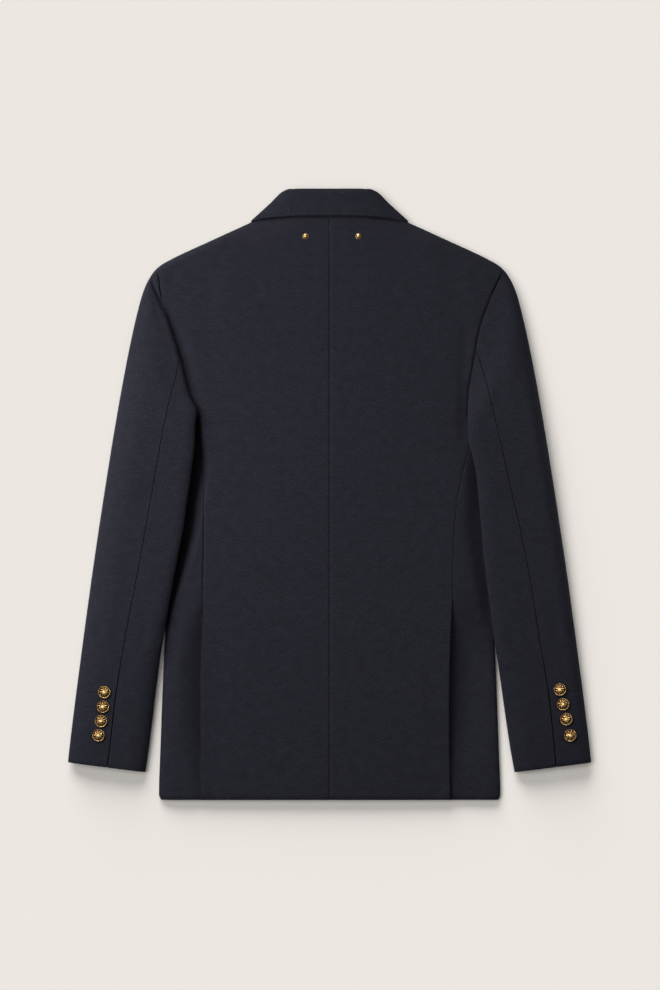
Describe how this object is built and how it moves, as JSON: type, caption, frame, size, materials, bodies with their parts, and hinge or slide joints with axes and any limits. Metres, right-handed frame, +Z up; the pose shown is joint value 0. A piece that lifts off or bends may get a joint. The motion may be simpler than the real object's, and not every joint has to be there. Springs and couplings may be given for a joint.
{
  "type": "double breasted blazer",
  "caption": "Double breasted blazer laid flat with its back up: folded collar, centre-back seam, side vents, two-piece sleeves and domed metal buttons at the cuffs.",
  "frame": {"origin": "on the surface the blazer lies on, under the middle of its bounding box", "axes": "+Y along the back towards the collar, +X towards the wearer's right sleeve, +Z up out of the back"},
  "size_m": [0.6376, 0.7446, 0.032],
  "materials": {
    "cloth": "smooth fine twill with a soft, low sheen",
    "gilt_metal": "antiqued gilt, dark in its recesses"
  },
  "bodies": {
    "root": {"back_left": "cloth", "back_right": "cloth", "side_left": "cloth", "side_right": "cloth", "front_left": "cloth", "front_right": "cloth", "lapel_left": "cloth", "lapel_right": "cloth", "collar": "cloth", "sleeve_upper_left": "cloth", "sleeve_upper_right": "cloth", "sleeve_under_left": "cloth", "sleeve_under_right": "cloth", "cuff_button_left_1": "gilt_metal", "cuff_button_left_2": "gilt_metal", "cuff_button_left_3": "gilt_metal", "cuff_button_left_4": "gilt_metal", "cuff_button_right_1": "gilt_metal", "cuff_button_right_2": "gilt_metal", "cuff_button_right_3": "gilt_metal", "cuff_button_right_4": "gilt_metal", "front_button_1": "gilt_metal", "front_button_2": "gilt_metal", "front_button_3": "gilt_metal", "front_button_4": "gilt_metal", "front_button_5": "gilt_metal", "front_button_6": "gilt_metal", "stud_left": "gilt_metal", "stud_right": "gilt_metal"}
  },
  "joints": []
}
